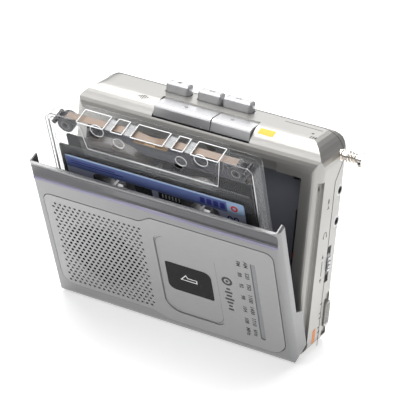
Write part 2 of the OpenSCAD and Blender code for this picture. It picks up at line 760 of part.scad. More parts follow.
// ---- Cassette, drawn where it stands when seated, with its own middle at x = 0 ----

function tape_outline(inset) = rounded(-tape_w/2 + inset, tape_bottom + inset, tape_w/2 - inset,
    tape_top - inset, [3.2, 3.2, 2, 2]);
function head_end_outline(inset) = [[-31.5 + inset, tape_top - head_end_h + inset],
    [31.5 - inset, tape_top - head_end_h + inset], [34.5 - inset, tape_top - inset],
    [-34.5 + inset, tape_top - inset]];

// One half of the shell; side is -1 for the front half and 1 for the rear half
module tape_half(side) {
    reach = (tape_t/2)*side;
    head_reach = (tape_head_t/2)*side;
    y = tape_mid_y;
    difference() {
        union() {
            along_y(min(y, y + reach), max(y, y + reach)) polygon(tape_outline(0));
            along_y(min(y, y + head_reach), max(y, y + head_reach)) polygon(head_end_outline(0));
        }
        along_y(min(y - side, y + reach - shell_t*side), max(y - side, y + reach - shell_t*side))
            polygon(tape_outline(shell_t));
        along_y(min(y - side, y + head_reach - shell_t*side), max(y - side, y + head_reach - shell_t*side))
            polygon(head_end_outline(shell_t + 0.4));
        for (x = [-hub_dx, hub_dx]) bar_y(x, hub_z, hub_hole_r, y - 10, y + 10);
        for (x = [-25, 25]) bar_y(x, capstan_z - 0.6, 3, y - 10, y + 10);
        for (x = [-15, 15]) bar_y(x, tape_top - 8, 2.4, y - 10, y + 10);
        for (o = tape_openings) block([o[0] - o[1]/2, y - 4.4, tape_top - 2.5], [o[0] + o[1]/2, y + 4.4, tape_top + 1]);
    }
}
module cassette_front_half() {
    color(clear) at_tape() difference() {
        tape_half(-1);
        for (p = tape_screws) bar_y(p[0], p[1], 1.1, tape_front_y - 1, tape_mid_y + 1);
    }
}
module cassette_rear_half() {
    color(clear) at_tape() difference() {
        tape_half(1);
        for (p = tape_screws) bar_y(p[0], p[1], 1.1, tape_mid_y - 1, tape_back_y - 1);
    }
}
module cassette_screws() {
    color(steel) at_tape() for (p = tape_screws) {
        bar_y(p[0], p[1], 1.05, tape_front_y + 0.2, tape_back_y - 1.2);
    }
}
module guide_rollers() {
    color("#2b2b2d") at_tape() for (x = [-roller_x, roller_x]) difference() {
        bar_y(x, roller_z, roller_r, tape_front_y + 1.4, tape_back_y - 1.4);
        bar_y(x, roller_z, 0.9, tape_front_y, tape_back_y);
    }
}
module pressure_pad() {
    color(copper) at_tape() {
        block([-8, tape_mid_y - 2, tape_top - 5.6], [8, tape_mid_y + 2, tape_top - 5.3]);
        block([-2.5, tape_mid_y - 2, tape_top - 5.3], [2.5, tape_mid_y + 2, tape_top - 4.3]);
    }
}
module tape_ribbon() {
    top = [for (i = [-20:20]) [i*roller_x/20, ribbon_z - (abs(i) < 5 ? 0.75*(1 + cos(36*i)) : 0)]];
    color(brown) at_tape() along_y(tape_mid_y - 1.9, tape_mid_y + 1.9)
        polygon(concat(top, backwards([for (p = top) p - [0, 0.14]])));
}
module cassette_label() {
    color("#5a648c") at_tape() difference() {
        along_y(tape_front_y - 0.2, tape_front_y)
            polygon(rounded(-43.5, label_z[0], 43.5, label_z[1], [2, 2, 1, 1]));
        along_y(tape_front_y - 1, tape_front_y + 1) polygon(rounded(-31, hub_z - 8.4, 31, hub_z + 5,
            [3, 3, 3, 3]));
    }
}
module hub(x) {
    at_tape() {
        difference() {
            bar_y(x, hub_z, 10.8, tape_mid_y - 1.9, tape_mid_y + 1.9);
            bar_y(x, hub_z, 5.2, tape_mid_y - 10, tape_mid_y + 10);
        }
        for (a = [0:60:300]) translate([x, 0, hub_z]) rotate([0, a, 0])
            block([4.2, tape_mid_y - 3.1, -0.5], [5.5, tape_mid_y + 3.1, 0.5]);
    }
}
module left_hub() { color(bright) hub(-hub_dx); }
module right_hub() { color(bright) hub(hub_dx); }
module left_tape_pack() {
    color(brown) at_tape() ring_y(-hub_dx, hub_z, pack_r[0], 10.85, tape_mid_y - 1.85, tape_mid_y + 1.85);
}
module right_tape_pack() {
    color(brown) at_tape() ring_y(hub_dx, hub_z, pack_r[1], 10.85, tape_mid_y - 1.85, tape_mid_y + 1.85);
}

front_housing();
rear_housing();
cassette_well();
circuit_board();
motor();
motor_pulley();
drive_belt();
flywheel();
takeup_spindle();
supply_spindle();
idler_wheel();
head_plate();
tape_head();
erase_head();
pinch_arm();
pinch_roller();
play_key();
record_key();
stop_key();
rewind_key();
forward_key();
key_springs();
tuning_wheel();
tuning_capacitor();
dial_carriage();
volume_wheel();
band_switch_knob();
band_switch();
headphone_jack();
microphone_jack();
microphone();
antenna_tube();
antenna_middle();
antenna_inner();
antenna_tip();
batteries();
battery_contacts();
battery_cover();
housing_screws();
hinge_pins();
door_shell();
door_fascia();
door_window();
dial_lens();
door_lining();
speaker();
cassette_front_half();
cassette_rear_half();
guide_rollers();
pressure_pad();
cassette_label();
tape_ribbon();
cassette_screws();
left_hub();
right_hub();
left_tape_pack();
right_tape_pack();
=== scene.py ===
import bpy, json, math
from mathutils import Matrix, Vector


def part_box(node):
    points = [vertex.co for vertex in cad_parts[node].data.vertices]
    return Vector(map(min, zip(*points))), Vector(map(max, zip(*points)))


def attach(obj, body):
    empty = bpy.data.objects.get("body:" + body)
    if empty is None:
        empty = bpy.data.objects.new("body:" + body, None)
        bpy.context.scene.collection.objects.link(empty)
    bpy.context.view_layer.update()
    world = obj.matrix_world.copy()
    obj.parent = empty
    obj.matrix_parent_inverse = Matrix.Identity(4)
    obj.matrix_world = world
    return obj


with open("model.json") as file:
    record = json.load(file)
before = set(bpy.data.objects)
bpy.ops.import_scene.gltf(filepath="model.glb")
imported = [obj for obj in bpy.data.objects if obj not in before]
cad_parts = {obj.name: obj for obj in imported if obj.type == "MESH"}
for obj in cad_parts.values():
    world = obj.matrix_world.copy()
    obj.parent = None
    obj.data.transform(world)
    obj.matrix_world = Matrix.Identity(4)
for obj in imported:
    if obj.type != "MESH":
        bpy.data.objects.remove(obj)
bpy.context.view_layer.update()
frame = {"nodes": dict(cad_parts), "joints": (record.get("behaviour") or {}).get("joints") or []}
nodes = frame["nodes"]
joints = {j["name"]: j for j in frame["joints"]}
MM = 0.001
PRINT_LIFT = 0.03
PATCH_LIFT = 0.045
PRINT_THICK = 0.04
LETTER_DEPTH, LETTER_BOLD = 0.015, 0.04

# ---- Where the moving pieces stand at rest ----
hinge = joints["door_hinge"]
pivot = Vector(hinge["pos_m"])
DOOR = (Matrix.Translation(pivot) @ Matrix.Rotation(math.radians(hinge["range_deg"][1]), 4, "X")
        @ Matrix.Translation(-pivot))
TAPE_X = -0.9
TAPE_RAISE = 35
TAPE = DOOR @ Matrix.Translation((TAPE_X * MM, 0, TAPE_RAISE * MM))
HOUSING = Matrix.Identity(4)

# Named sizes of the object, in millimetres, in the closed position
SIDE_X = 61.0
TOP_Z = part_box("front_housing")[1].z / MM
BROW_R = 12.0
CORNER_R = 11.0
RIM_Y = -10.5
DOOR_Y = -17.0
DOOR_H = 85.5
PANEL_Y = DOOR_Y - 0.15
TRAY_Y = DOOR_Y + 0.33
MARK_X = 32.3
MARK_Z = 46.0
MARK_BARS = ((41.0, 1.8), (38.8, 3.6), (36.6, 2.6), (34.4, 4.4), (32.2, 3.0), (30.0, 1.8), (27.8, 2.6))
SPEAKER_X, SPEAKER_Z, SPEAKER_R = -30, 38, 18.5
GRILLE_PITCH, GRILLE_X, GRILLE_Z = 2.5, -52.2, 13.4
GRILLE_ROWS, GRILLE_COLS = 24, 18
OPEN_DOT_R, BLIND_DOT_R, DOT_STEPS = 0.72, 0.4, 12
DIAL_SIZE, DIAL_LEFT_X, DIAL_RIGHT_X = 2.7, 39.3, 42.9
DIAL_ROWS = ((60.0, "FM", "AM"), (53.0, "88", "520"), (46.0, "92", "750"), (38.5, "98", "1100"),
             (31.0, "104", "1400"), (23.5, "108", "1710"), (16.2, "MHz", "kHz"))
TAPE_FRONT_Y = -10.7
TAPE_MID_Y = TAPE_FRONT_Y + 4.35
TAPE_TOP = 77.8
HEAD_LOW = TAPE_TOP - 17
SHELL_INNER_Y = TAPE_FRONT_Y + 1.2
LABEL_Y = TAPE_FRONT_Y - 0.2
LABEL_TOP_Y = LABEL_Y - 0.05
WINDOW_Y = LABEL_Y + 0.15
HUB_Z = 43.4
HUB_DX = 21.25
LINER_FRONT_Y, LINER_REAR_Y, LINER_THICK = -9.45, -3.25, 0.08
ROLLER_X = 41
ROLLER_Z = TAPE_TOP - 6.2
OPENINGS = ((-27.5, 12.5), (-14.6, 5.0), (0.0, 15.0), (14.6, 5.0), (27.5, 12.5))


# ---- Materials ----
COAT_ROUGH = 0.08
SMUDGE_SCALE = 38.0
BUMP_MM = 0.03
EDGE_OPACITY = 0.95


def put(tree, kind, **values):
    n = tree.nodes.new(kind)
    for k, v in values.items():
        n.inputs[k.replace("_", " ")].default_value = v
    return n


def spread_color(tree, fac, color, amount):
    """A colour that varies a little between a darker and a lighter version of itself."""
    mix = tree.nodes.new("ShaderNodeMix")
    mix.data_type = "RGBA"
    mix.inputs[6].default_value = [c * (1 - amount) for c in color] + [1]
    mix.inputs[7].default_value = [min(1, c * (1 + amount)) for c in color] + [1]
    tree.links.new(fac, mix.inputs[0])
    return mix.outputs[2]


def material(name, color, rough, metal=0.0, coat=0.0, amount=0.06, grain=2500.0, depth=0.15,
             stretch=(1, 1, 1), smudge=0.05, edge=0.0, clear=0.0, tint=(1, 1, 1), facing=3.0, gloss=0.5):
    """A surface with fine grain, broad smudges and soft edges; clear lets that share of the light through."""
    m = bpy.data.materials.new(name)
    m.use_nodes = True
    t = m.node_tree
    t.nodes.clear()
    out = t.nodes.new("ShaderNodeOutputMaterial")
    b = put(t, "ShaderNodeBsdfPrincipled", Metallic=metal, Coat_Weight=coat)
    b.inputs["Coat Roughness"].default_value = COAT_ROUGH
    b.inputs["Specular IOR Level"].default_value = gloss
    place = t.nodes.new("ShaderNodeTexCoord")
    mapping = put(t, "ShaderNodeMapping", Scale=stretch)
    t.links.new(place.outputs["Object"], mapping.inputs["Vector"])
    fine = put(t, "ShaderNodeTexNoise", Scale=grain, Detail=3.0, Roughness=0.6)
    broad = put(t, "ShaderNodeTexNoise", Scale=SMUDGE_SCALE, Detail=4.0, Roughness=0.55)
    t.links.new(mapping.outputs["Vector"], fine.inputs["Vector"])
    t.links.new(place.outputs["Object"], broad.inputs["Vector"])
    t.links.new(spread_color(t, fine.outputs[0], color, amount), b.inputs["Base Color"])
    ramp = put(t, "ShaderNodeMapRange", From_Min=0.3, From_Max=0.7, To_Min=max(0.03, rough - smudge),
               To_Max=rough + smudge)
    t.links.new(broad.outputs[0], ramp.inputs["Value"])
    t.links.new(ramp.outputs[0], b.inputs["Roughness"])
    bump = put(t, "ShaderNodeBump", Strength=depth, Distance=BUMP_MM * MM)
    t.links.new(fine.outputs[0], bump.inputs["Height"])
    if edge:
        soft = put(t, "ShaderNodeBevel", Radius=edge * MM)
        soft.samples = 4
        t.links.new(soft.outputs[0], bump.inputs["Normal"])
    t.links.new(bump.outputs[0], b.inputs["Normal"])
    shader = b.outputs[0]
    if clear:
        see = put(t, "ShaderNodeBsdfTransparent", Color=[*tint, 1])
        weight = put(t, "ShaderNodeLayerWeight", Blend=0.5)
        rim = t.nodes.new("ShaderNodeMath")
        rim.operation = "POWER"
        rim.inputs[1].default_value = facing
        share = put(t, "ShaderNodeMapRange", From_Min=0.0, From_Max=1.0, To_Min=1 - clear,
                    To_Max=EDGE_OPACITY)
        t.links.new(bump.outputs[0], weight.inputs["Normal"])
        t.links.new(weight.outputs["Facing"], rim.inputs[0])
        t.links.new(rim.outputs[0], share.inputs["Value"])
        mix = t.nodes.new("ShaderNodeMixShader")
        t.links.new(share.outputs[0], mix.inputs[0])
        t.links.new(see.outputs[0], mix.inputs[1])
        t.links.new(shader, mix.inputs[2])
        shader = mix.outputs[0]
    t.links.new(shader, out.inputs["Surface"])
    return m


paint = material("silver_paint", (0.44, 0.432, 0.412), 0.36, metal=0.75, coat=0.12, grain=5200,
                 amount=0.09, edge=0.25)
door_paint = material("door_paint", (0.28, 0.28, 0.282), 0.33, metal=0.6, coat=0.1, grain=5200,
                      amount=0.09, edge=0.2)
panel_paint = material("panel_paint", (0.35, 0.35, 0.348), 0.38, metal=0.5, grain=2600, amount=0.08,
                       stretch=(0.12, 1, 1.6), edge=0.15)
key_paint = material("key_paint", (0.56, 0.56, 0.57), 0.25, metal=0.55, coat=0.3, grain=5200, edge=0.3)
well_plastic = material("well_plastic", (0.2, 0.205, 0.24), 0.42, grain=1800, depth=0.35, edge=0.2)
pocket_plastic = material("pocket_plastic", (0.03, 0.032, 0.04), 0.4, grain=1800, depth=0.3)
# Painted shade for the depth of the loudspeaker holes
painted_hole_shade = material("painted_hole_shade", (0.004, 0.004, 0.004), 0.8, grain=1900, gloss=0.05)
black_plastic = material("black_plastic", (0.014, 0.014, 0.015), 0.35, grain=1900, depth=0.3, edge=0.1)
rubber = material("rubber", (0.018, 0.018, 0.018), 0.75, grain=1400, depth=0.5)
solder_mask = material("solder_mask", (0.03, 0.13, 0.06), 0.35, grain=900, amount=0.25, coat=0.3)
steel = material("steel", (0.55, 0.56, 0.58), 0.26, metal=1.0, grain=2600, stretch=(1, 0.15, 1),
                 smudge=0.08)
brass = material("brass", (0.72, 0.52, 0.2), 0.25, metal=1.0, grain=3000)
white_plastic = material("white_plastic", (0.8, 0.8, 0.77), 0.4, grain=1500, edge=0.1)
chrome = material("antenna_chrome", (0.82, 0.77, 0.71), 0.14, metal=1.0, grain=1500, smudge=0.06,
                  depth=0.05, edge=0.15)
wrap = material("cell_wrap", (0.05, 0.055, 0.07), 0.2, coat=0.6, grain=600)
smoke = material("smoked_window", (0.008, 0.008, 0.009), 0.25, grain=900, depth=0.02, gloss=0.15)
lens = material("dial_lens", (0.22, 0.225, 0.235), 0.22, coat=0.4, grain=700, amount=0.1, depth=0.03)
shell = material("clear_shell", (0.5, 0.51, 0.52), 0.04, grain=500, depth=0.02, clear=0.985,
                 tint=(0.985, 0.985, 0.985), edge=0.6, facing=3.4)
roller = material("roller", (0.02, 0.02, 0.022), 0.4, grain=2000)
pad = material("felt_pad", (0.45, 0.3, 0.16), 0.6, grain=2500, depth=0.6)
pointer = material("pointer", (0.6, 0.12, 0.04), 0.4, grain=1500)
tape = material("tape", (0.28, 0.19, 0.13), 0.4, grain=1200, stretch=(0.1, 1, 1), coat=0.2)
tape_pack = material("tape_pack", (0.03, 0.018, 0.012), 0.25, grain=2600, coat=0.4, depth=0.3)
label_paper = material("label_paper", (0.47, 0.5, 0.64), 0.5, grain=3200, amount=0.04)
ink = material("ink", (0.03, 0.03, 0.034), 0.5, grain=3000, amount=0.2)
white_ink = material("white_ink", (0.82, 0.82, 0.8), 0.5, grain=3000)
slate = material("slate_print", (0.1, 0.135, 0.31), 0.42, grain=3000, amount=0.05)
sky = material("sky_print", (0.33, 0.47, 0.66), 0.42, grain=3000, amount=0.05)
navy = material("navy_print", (0.02, 0.022, 0.16), 0.45, grain=3000)
red = material("red_print", (0.6, 0.05, 0.04), 0.45, grain=3000)
yellow = material("yellow_sticker", (0.85, 0.6, 0.03), 0.45, grain=2600, amount=0.12)
orange = material("orange_sticker", (0.85, 0.25, 0.03), 0.45, grain=2600, amount=0.12)
liner = material("liner", (0.012, 0.012, 0.013), 0.2, coat=0.4, grain=900, smudge=0.1)
hub_plastic = material("hub_plastic", (0.3, 0.3, 0.31), 0.2, grain=1500, coat=0.4, edge=0.1)
slate_grey = material("slate_grey", (0.3, 0.3, 0.31), 0.4, grain=2000)
socket_metal = material("socket_metal", (0.5, 0.5, 0.49), 0.3, metal=0.9, grain=2500)
# Grey for painted shade lines: the tray's edge and the refraction lines along the shell
painted_shade_grey = material("painted_shade_grey", (0.1, 0.1, 0.11), 0.5, grain=2000)
# Dark for the housing's seam, and painted shade in the blind dimples beside the loudspeaker
seam_and_dimple_shade = material("seam", (0.1, 0.1, 0.1), 0.6, grain=2000)
# Painted highlights for the edges, posts and opening rims of the clear shell
painted_highlight = material("shell_painted_highlight", (0.86, 0.87, 0.88), 0.12, grain=700, amount=0.1, coat=0.6)
# Whitish frost for the bridges of the shell, partly a painted highlight
frost_and_highlight = material("shell_frost_and_painted_highlight", (0.6, 0.61, 0.62), 0.12, grain=600, amount=0.15, clear=0.45,
                 facing=1.2, edge=0.3)
shade_paint = material("shade_paint", (0.13, 0.13, 0.135), 0.35, metal=0.6, grain=5200, amount=0.09)
# Painted lilac highlight where the door's hollow band meets the flat front
lilac_highlight = material("lilac_highlight", (0.3, 0.29, 0.4), 0.35, metal=0.6, grain=5200, amount=0.09)

FINISH = {
    "front_housing": paint, "rear_housing": paint, "battery_cover": paint, "band_switch_knob": paint,
    "door_shell": door_paint, "door_fascia": panel_paint, "play_key": key_paint, "record_key": key_paint,
    "stop_key": key_paint, "rewind_key": key_paint, "forward_key": key_paint, "tuning_wheel": key_paint,
    "volume_wheel": key_paint, "cassette_well": well_plastic, "door_lining": pocket_plastic,
    "headphone_jack": socket_metal, "microphone_jack": socket_metal, "speaker": black_plastic,
    "erase_head": black_plastic, "drive_belt": rubber, "idler_wheel": rubber, "pinch_roller": rubber,
    "circuit_board": solder_mask, "flywheel": brass, "motor_pulley": brass, "takeup_spindle": white_plastic,
    "supply_spindle": white_plastic, "left_hub": hub_plastic, "right_hub": hub_plastic,
    "tuning_capacitor": white_plastic, "antenna_tube": chrome, "antenna_middle": chrome,
    "antenna_inner": chrome, "antenna_tip": chrome, "batteries": wrap, "door_window": smoke,
    "dial_lens": lens, "cassette_front_half": shell, "cassette_rear_half": shell, "guide_rollers": roller,
    "pressure_pad": pad, "dial_carriage": pointer, "tape_ribbon": tape, "left_tape_pack": tape_pack,
    "right_tape_pack": tape_pack, "cassette_label": label_paper, "cassette_screws": black_plastic,
}
for name, node in nodes.items():
    node.data.materials.clear()
    node.data.materials.append(FINISH.get(name, steel))


# ---- Pieces drawn as filled outlines: prints, labels, stickers, sheets ----
def facing_front(y):
    return Matrix(((1, 0, 0, 0), (0, 0, -1, y * MM), (0, 1, 0, 0), (0, 0, 0, 1)))


def facing_side(x):
    return Matrix(((0, 0, 1, x * MM), (1, 0, 0, 0), (0, 1, 0, 0), (0, 0, 0, 1)))


def facing_top(z):
    return Matrix(((1, 0, 0, 0), (0, 1, 0, 0), (0, 0, 1, z * MM), (0, 0, 0, 1)))


def settle(obj, body, place):
    bpy.context.scene.collection.objects.link(obj)
    obj.matrix_world = place
    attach(obj, body)
    return obj


def sheet_of(name, body, finish, loops, plane, place=HOUSING, thick=PRINT_THICK):
    """Closed outlines in millimetres on a plane; an outline inside another one is a hole."""
    c = bpy.data.curves.new(name, "CURVE")
    c.dimensions = "2D"
    c.fill_mode = "BOTH"
    c.extrude = thick / 2 * MM
    for loop in loops:
        s = c.splines.new("POLY")
        s.points.add(len(loop) - 1)
        for p, (x, y) in zip(s.points, loop):
            p.co = (x * MM, y * MM, 0, 1)
        s.use_cyclic_u = True
    c.materials.append(finish)
    lift = Matrix.Translation((0, 0, thick / 2 * MM))
    return settle(bpy.data.objects.new(name, c), body, place @ plane @ lift)


def words(name, text, size, body, finish, x, y, turn, plane, place=HOUSING):
    c = bpy.data.curves.new(name, "FONT")
    c.body = text
    c.size = size * MM
    c.extrude = LETTER_DEPTH * MM
    c.offset = LETTER_BOLD * MM
    c.align_x = "CENTER"
    c.align_y = "CENTER"
    c.materials.append(finish)
    spot = Matrix.Translation((x * MM, y * MM, PRINT_LIFT * MM)) @ Matrix.Rotation(math.radians(turn), 4, "Z")
    return settle(bpy.data.objects.new(name, c), body, place @ plane @ spot)


def polar(x, y, r, degrees):
    """The point at a distance and an angle from (x, y)."""
    turned_by = math.radians(degrees)
    return (x + r * math.cos(turned_by), y + r * math.sin(turned_by))


def box_line(x0, y0, x1, y1, r=0.0, steps=6):
    """Outline of a rectangle, with rounded corners where r is given."""
    if r <= 0:
        return [(x0, y0), (x1, y0), (x1, y1), (x0, y1)]
    corners = ((x1 - r, y0 + r, -90), (x1 - r, y1 - r, 0), (x0 + r, y1 - r, 90), (x0 + r, y0 + r, 180))
    return [polar(cx, cy, r, start + 90 * i / steps) for cx, cy, start in corners for i in range(steps + 1)]


def ring_line(x, y, r, steps=32):
    return [polar(x, y, r, 360 * i / steps) for i in range(steps)]


def hoop(x, y, outer, inner):
    """The two outlines of a flat ring."""
    return [ring_line(x, y, outer), ring_line(x, y, inner)]


def band_line(points, width):
    """An open line given a width, as one closed outline."""
    left, right = [], []
    for i, p in enumerate(points):
        a = points[max(i - 1, 0)]
        b = points[min(i + 1, len(points) - 1)]
        dx, dy = b[0] - a[0], b[1] - a[1]
        n = math.hypot(dx, dy) or 1
        left.append((p[0] - dy / n * width / 2, p[1] + dx / n * width / 2))
        right.append((p[0] + dy / n * width / 2, p[1] - dx / n * width / 2))
    return left + right[::-1]


def shrink(loop, by):
    """A convex or nearly convex outline moved inwards, mitred at its corners."""
    out = []
    n = len(loop)
    for i in range(n):
        a, p, b = Vector(loop[i - 1]), Vector(loop[i]), Vector(loop[(i + 1) % n])
        d1, d2 = (p - a).normalized(), (b - p).normalized()
        n1, n2 = Vector((-d1.y, d1.x)), Vector((-d2.y, d2.x))
        m = n1 + n2
        out.append(tuple(p + m * (by / max(0.2, 1 + n1.dot(n2)))))
    return out


# ---- Door: dial numbers, arrow in the window, painted shade in the loudspeaker holes, plain mark ----
def door_print(name, finish, loops, y=PANEL_Y, thick=PRINT_THICK):
    return sheet_of(name, "door", finish, loops, facing_front(y), DOOR, thick)


for i, (z, left, right) in enumerate(DIAL_ROWS):
    for part, text, x, across in (("left", left, DIAL_LEFT_X, z), ("right", right, DIAL_RIGHT_X, z + 0.4)):
        words(f"dial_{part}_{i}", text, DIAL_SIZE, "door", ink, x, across, -90,
              facing_front(PANEL_Y), DOOR)

arrow = [(7.9, 36.9), (16.4, 36.9), (16.4, 39.0), (11.9, 39.0), (11.0, 40.7)]
door_print("window_arrow", white_ink, [arrow, shrink(arrow, 0.42)], DOOR_Y + 0.44)

# Painted shade for the dark depth of the loudspeaker holes: same rows as the holes, open inside the speaker's
# circle; outside it, painted shade on the blind dimples
hole_shade_dots, dimple_shade_dots = [], []
for row in range(GRILLE_ROWS):
    for col in range(GRILLE_COLS):
        x = GRILLE_X + GRILLE_PITCH * (col + (row % 2) / 2)
        z = GRILLE_Z + GRILLE_PITCH * row * math.sin(math.radians(60))
        if math.hypot(x - SPEAKER_X, z - SPEAKER_Z) < SPEAKER_R:
            hole_shade_dots.append(ring_line(x, z, OPEN_DOT_R, DOT_STEPS))
        else:
            dimple_shade_dots.append(ring_line(x, z, BLIND_DOT_R, DOT_STEPS))
door_print("grille_hole_shade", painted_hole_shade, hole_shade_dots, thick=0.02)
door_print("grille_dimple_shade", seam_and_dimple_shade, dimple_shade_dots, PANEL_Y + 0.55)
# Painted shade line around the edge of the recessed tray
tray = box_line(-1.8, 14.2, 27.2, 62.3, 5.5, 8)
door_print("tray_edge_shade", painted_shade_grey, [tray, shrink(tray, 0.22)], TRAY_Y, 0.03)
door_print("panel_mark_ring", ink, [ring_line(MARK_X, MARK_Z, r) for r in (2.6, 1.5, 0.7)])
door_print("panel_mark_bars", ink,
           [box_line(MARK_X - w / 2, z - 0.55, MARK_X + w / 2, z + 0.55, 0.3) for z, w in MARK_BARS])


# ---- Cassette: liner sheets, label prints ----
def tape_print(name, finish, loops, y, thick=PRINT_THICK):
    return sheet_of(name, "cassette", finish, loops, facing_front(y), TAPE, thick)


liner_loops = [box_line(-46.5, 15.8, 46.5, 60.2, 1.5)]
liner_loops += [ring_line(x, HUB_Z, 10.4) for x in (-HUB_DX, HUB_DX)]
tape_print("front_liner", liner, liner_loops, LINER_FRONT_Y, LINER_THICK)
tape_print("rear_liner", liner, liner_loops, LINER_REAR_Y, LINER_THICK)
tape_print("label_band", slate, [box_line(-43.4, 48.6, 43.4, 54.6, 0.3)], LABEL_Y)
tape_print("label_edge", sky, [box_line(-43.4, 54.6, 43.4, 55.3, 0.2)], LABEL_Y)
tape_print("label_corner", sky, [box_line(35.2, 48.6, 43.3, 54.5, 0.2)], LABEL_TOP_Y)
tape_print("label_stripes", navy,
           [box_line(-41, 51.0, -15, 51.5), box_line(-41, 52.3, -19, 52.7)]
           + [box_line(x, 50.0, x + 2.2, 53.2, 0.4) for x in (22.4, 25.6, 28.8, 32.0)], LABEL_TOP_Y)
tape_print("label_dot", red, hoop(38.7, 51.7, 1.7, 0.8), LABEL_Y - 0.1)
tape_print("label_strut", label_paper, [box_line(-1.5, 35.0, 1.5, 48.4)], WINDOW_Y, 0.1)
tape_print("label_ticks", white_ink,
           [box_line(3.4 + 1.6 * i, 45.4, 3.8 + 1.6 * i, 47.6) for i in range(6)], WINDOW_Y)
words("label_number", "60", 6.0, "cassette", navy, 37.4, 44.6, 180, facing_front(LABEL_Y), TAPE)
tape_print("label_number_line", navy,
           [box_line(35.0, 28.0, 41.5, 28.4), box_line(-41, 25, 41, 25.3), box_line(-41, 21.6, 41, 21.9)],
           LABEL_Y)


# ---- Cassette: lines inside and along the clear shell ----
def corner_line(way, low, x0, drop, x1, top, x2, width):
    """A line up one side of the shell, over the corner and along its top; way is -1 for the left."""
    return band_line([(way * x0, low), (way * x0, TAPE_TOP - drop), (way * x1, TAPE_TOP - top),
                      (way * x2, TAPE_TOP - top)], width)


# Painted highlights on the edges and posts inside the thick end, rings on the guide rollers
edges = [band_line([(-34.3, TAPE_TOP - 0.5), (-31.6, HEAD_LOW + 0.6), (31.6, HEAD_LOW + 0.6),
                    (34.3, TAPE_TOP - 0.5)], 0.35)]
edges += [corner_line(way, 30, 49.2, 3.2, 47.0, 0.9, 36, 0.4) for way in (-1, 1)]
tape_print("shell_edge_highlights", painted_highlight, edges, SHELL_INNER_Y, 0.3)
posts = []
for x, drop, r in ((-25, 4.0, 3.3), (-15, 8.0, 2.7), (15, 8.0, 2.7), (25, 4.0, 3.3)):
    posts += hoop(x, TAPE_TOP - drop, r, r - 0.22)
tape_print("shell_post_highlights", painted_highlight, posts, SHELL_INNER_Y + 0.4, 0.3)
tape_print("roller_rings", slate_grey,
           [loop for x in (-ROLLER_X, ROLLER_X) for loop in hoop(x, ROLLER_Z, 2.1, 1.85)], TAPE_FRONT_Y + 1.3)

# Painted shade lines for the refraction along the outside of the shell
outline = []
for way in (-1, 1):
    outline.append(corner_line(way, 26, 49.95, 3.2, 47.0, 0.25, 35.2, 0.28))
    outline.append(corner_line(way, 26, 48.2, 4.0, 46.4, 1.9, 36.0, 0.22))
tape_print("shell_refraction_shade", painted_shade_grey, outline, SHELL_INNER_Y - 0.6, 0.2)

# Frosted bridges between the five openings for the heads, their whitish frost partly a painted highlight, and
# painted highlights on the rims of the openings
gaps = [(a[0] + a[1] / 2, b[0] - b[1] / 2) for a, b in zip(OPENINGS, OPENINGS[1:])]
bridges = [box_line(a + 0.3, TAPE_MID_Y - 3.2, b - 0.3, TAPE_MID_Y + 3.2, 0.5) for a, b in gaps]
rims = []
for x, w in OPENINGS:
    rims.append(box_line(x - w / 2 - 0.4, TAPE_MID_Y - 4.3, x + w / 2 + 0.4, TAPE_MID_Y + 4.3, 0.4))
    rims.append(box_line(x - w / 2, TAPE_MID_Y - 3.9, x + w / 2, TAPE_MID_Y + 3.9, 0.3))
sheet_of("shell_bridges", "cassette", frost_and_highlight, bridges, facing_top(TAPE_TOP - 1.75), TAPE, 0.25)
sheet_of("opening_rim_highlights", "cassette", painted_highlight, rims, facing_top(TAPE_TOP - 0.9), TAPE, 0.2)


# ---- Pieces drawn as surfaces ----
def surface(name, verts, faces, finish, smooth=False):
    me = bpy.data.meshes.new(name)
    me.from_pydata(verts, [], faces)
    me.materials.append(finish)
    if smooth:
        for f in me.polygons:
            f.use_smooth = True
    return bpy.data.objects.new(name, me)


def thicken(obj, thickness):
    thick = obj.modifiers.new("thick", "SOLIDIFY")
    thick.thickness = thickness * MM


# Painted shade in the hollow band below the door's lip, with a painted lilac highlight line where it meets
# the flat front
LIP_HALF = 59.8


def lip_strip(name, finish, profile):
    """A strip along x over the hollow band; the profile is depth behind the front, distance below the top."""
    verts = [(x * MM, (DOOR_Y + depth - 0.04) * MM, (DOOR_H - down) * MM)
             for depth, down in profile for x in (-LIP_HALF, LIP_HALF)]
    faces = [(2 * i, 2 * i + 1, 2 * i + 3, 2 * i + 2) for i in range(len(profile) - 1)]
    strip = surface(name, verts, faces, finish, smooth=True)
    thicken(settle(strip, "door", DOOR), 0.03)


lip_strip("lip_shade", shade_paint, [(0.7, 8.2), (1.1, 6), (1.1, 4), (0.6, 2)])
lip_strip("lip_highlight_line", lilac_highlight, [(0.08, 9.8), (0.62, 8.4)])


# ---- Prints on the housing ----
def brow_height(y):
    back = RIM_Y + BROW_R
    return TOP_Z if y >= back else TOP_Z - BROW_R + math.sqrt(BROW_R**2 - (back - y) ** 2)


def wrapped(name, finish, patches, steps=6):
    """Thin patches that follow the curved top: each is x0, x1, y0, y1, with a slant in x along y."""
    verts, faces = [], []
    for x0, x1, y0, y1, slant in patches:
        start = len(verts)
        for i in range(steps + 1):
            y = y0 + (y1 - y0) * i / steps
            z = brow_height(y) + PATCH_LIFT
            shift = slant * i / steps
            verts += [((x0 + shift) * MM, y * MM, z * MM), ((x1 + shift) * MM, y * MM, z * MM)]
        for a in range(start, start + 2 * steps, 2):
            faces.append((a, a + 1, a + 3, a + 2))
    patch = surface(name, verts, faces, finish)
    thicken(settle(patch, "housing", HOUSING), 0.04)


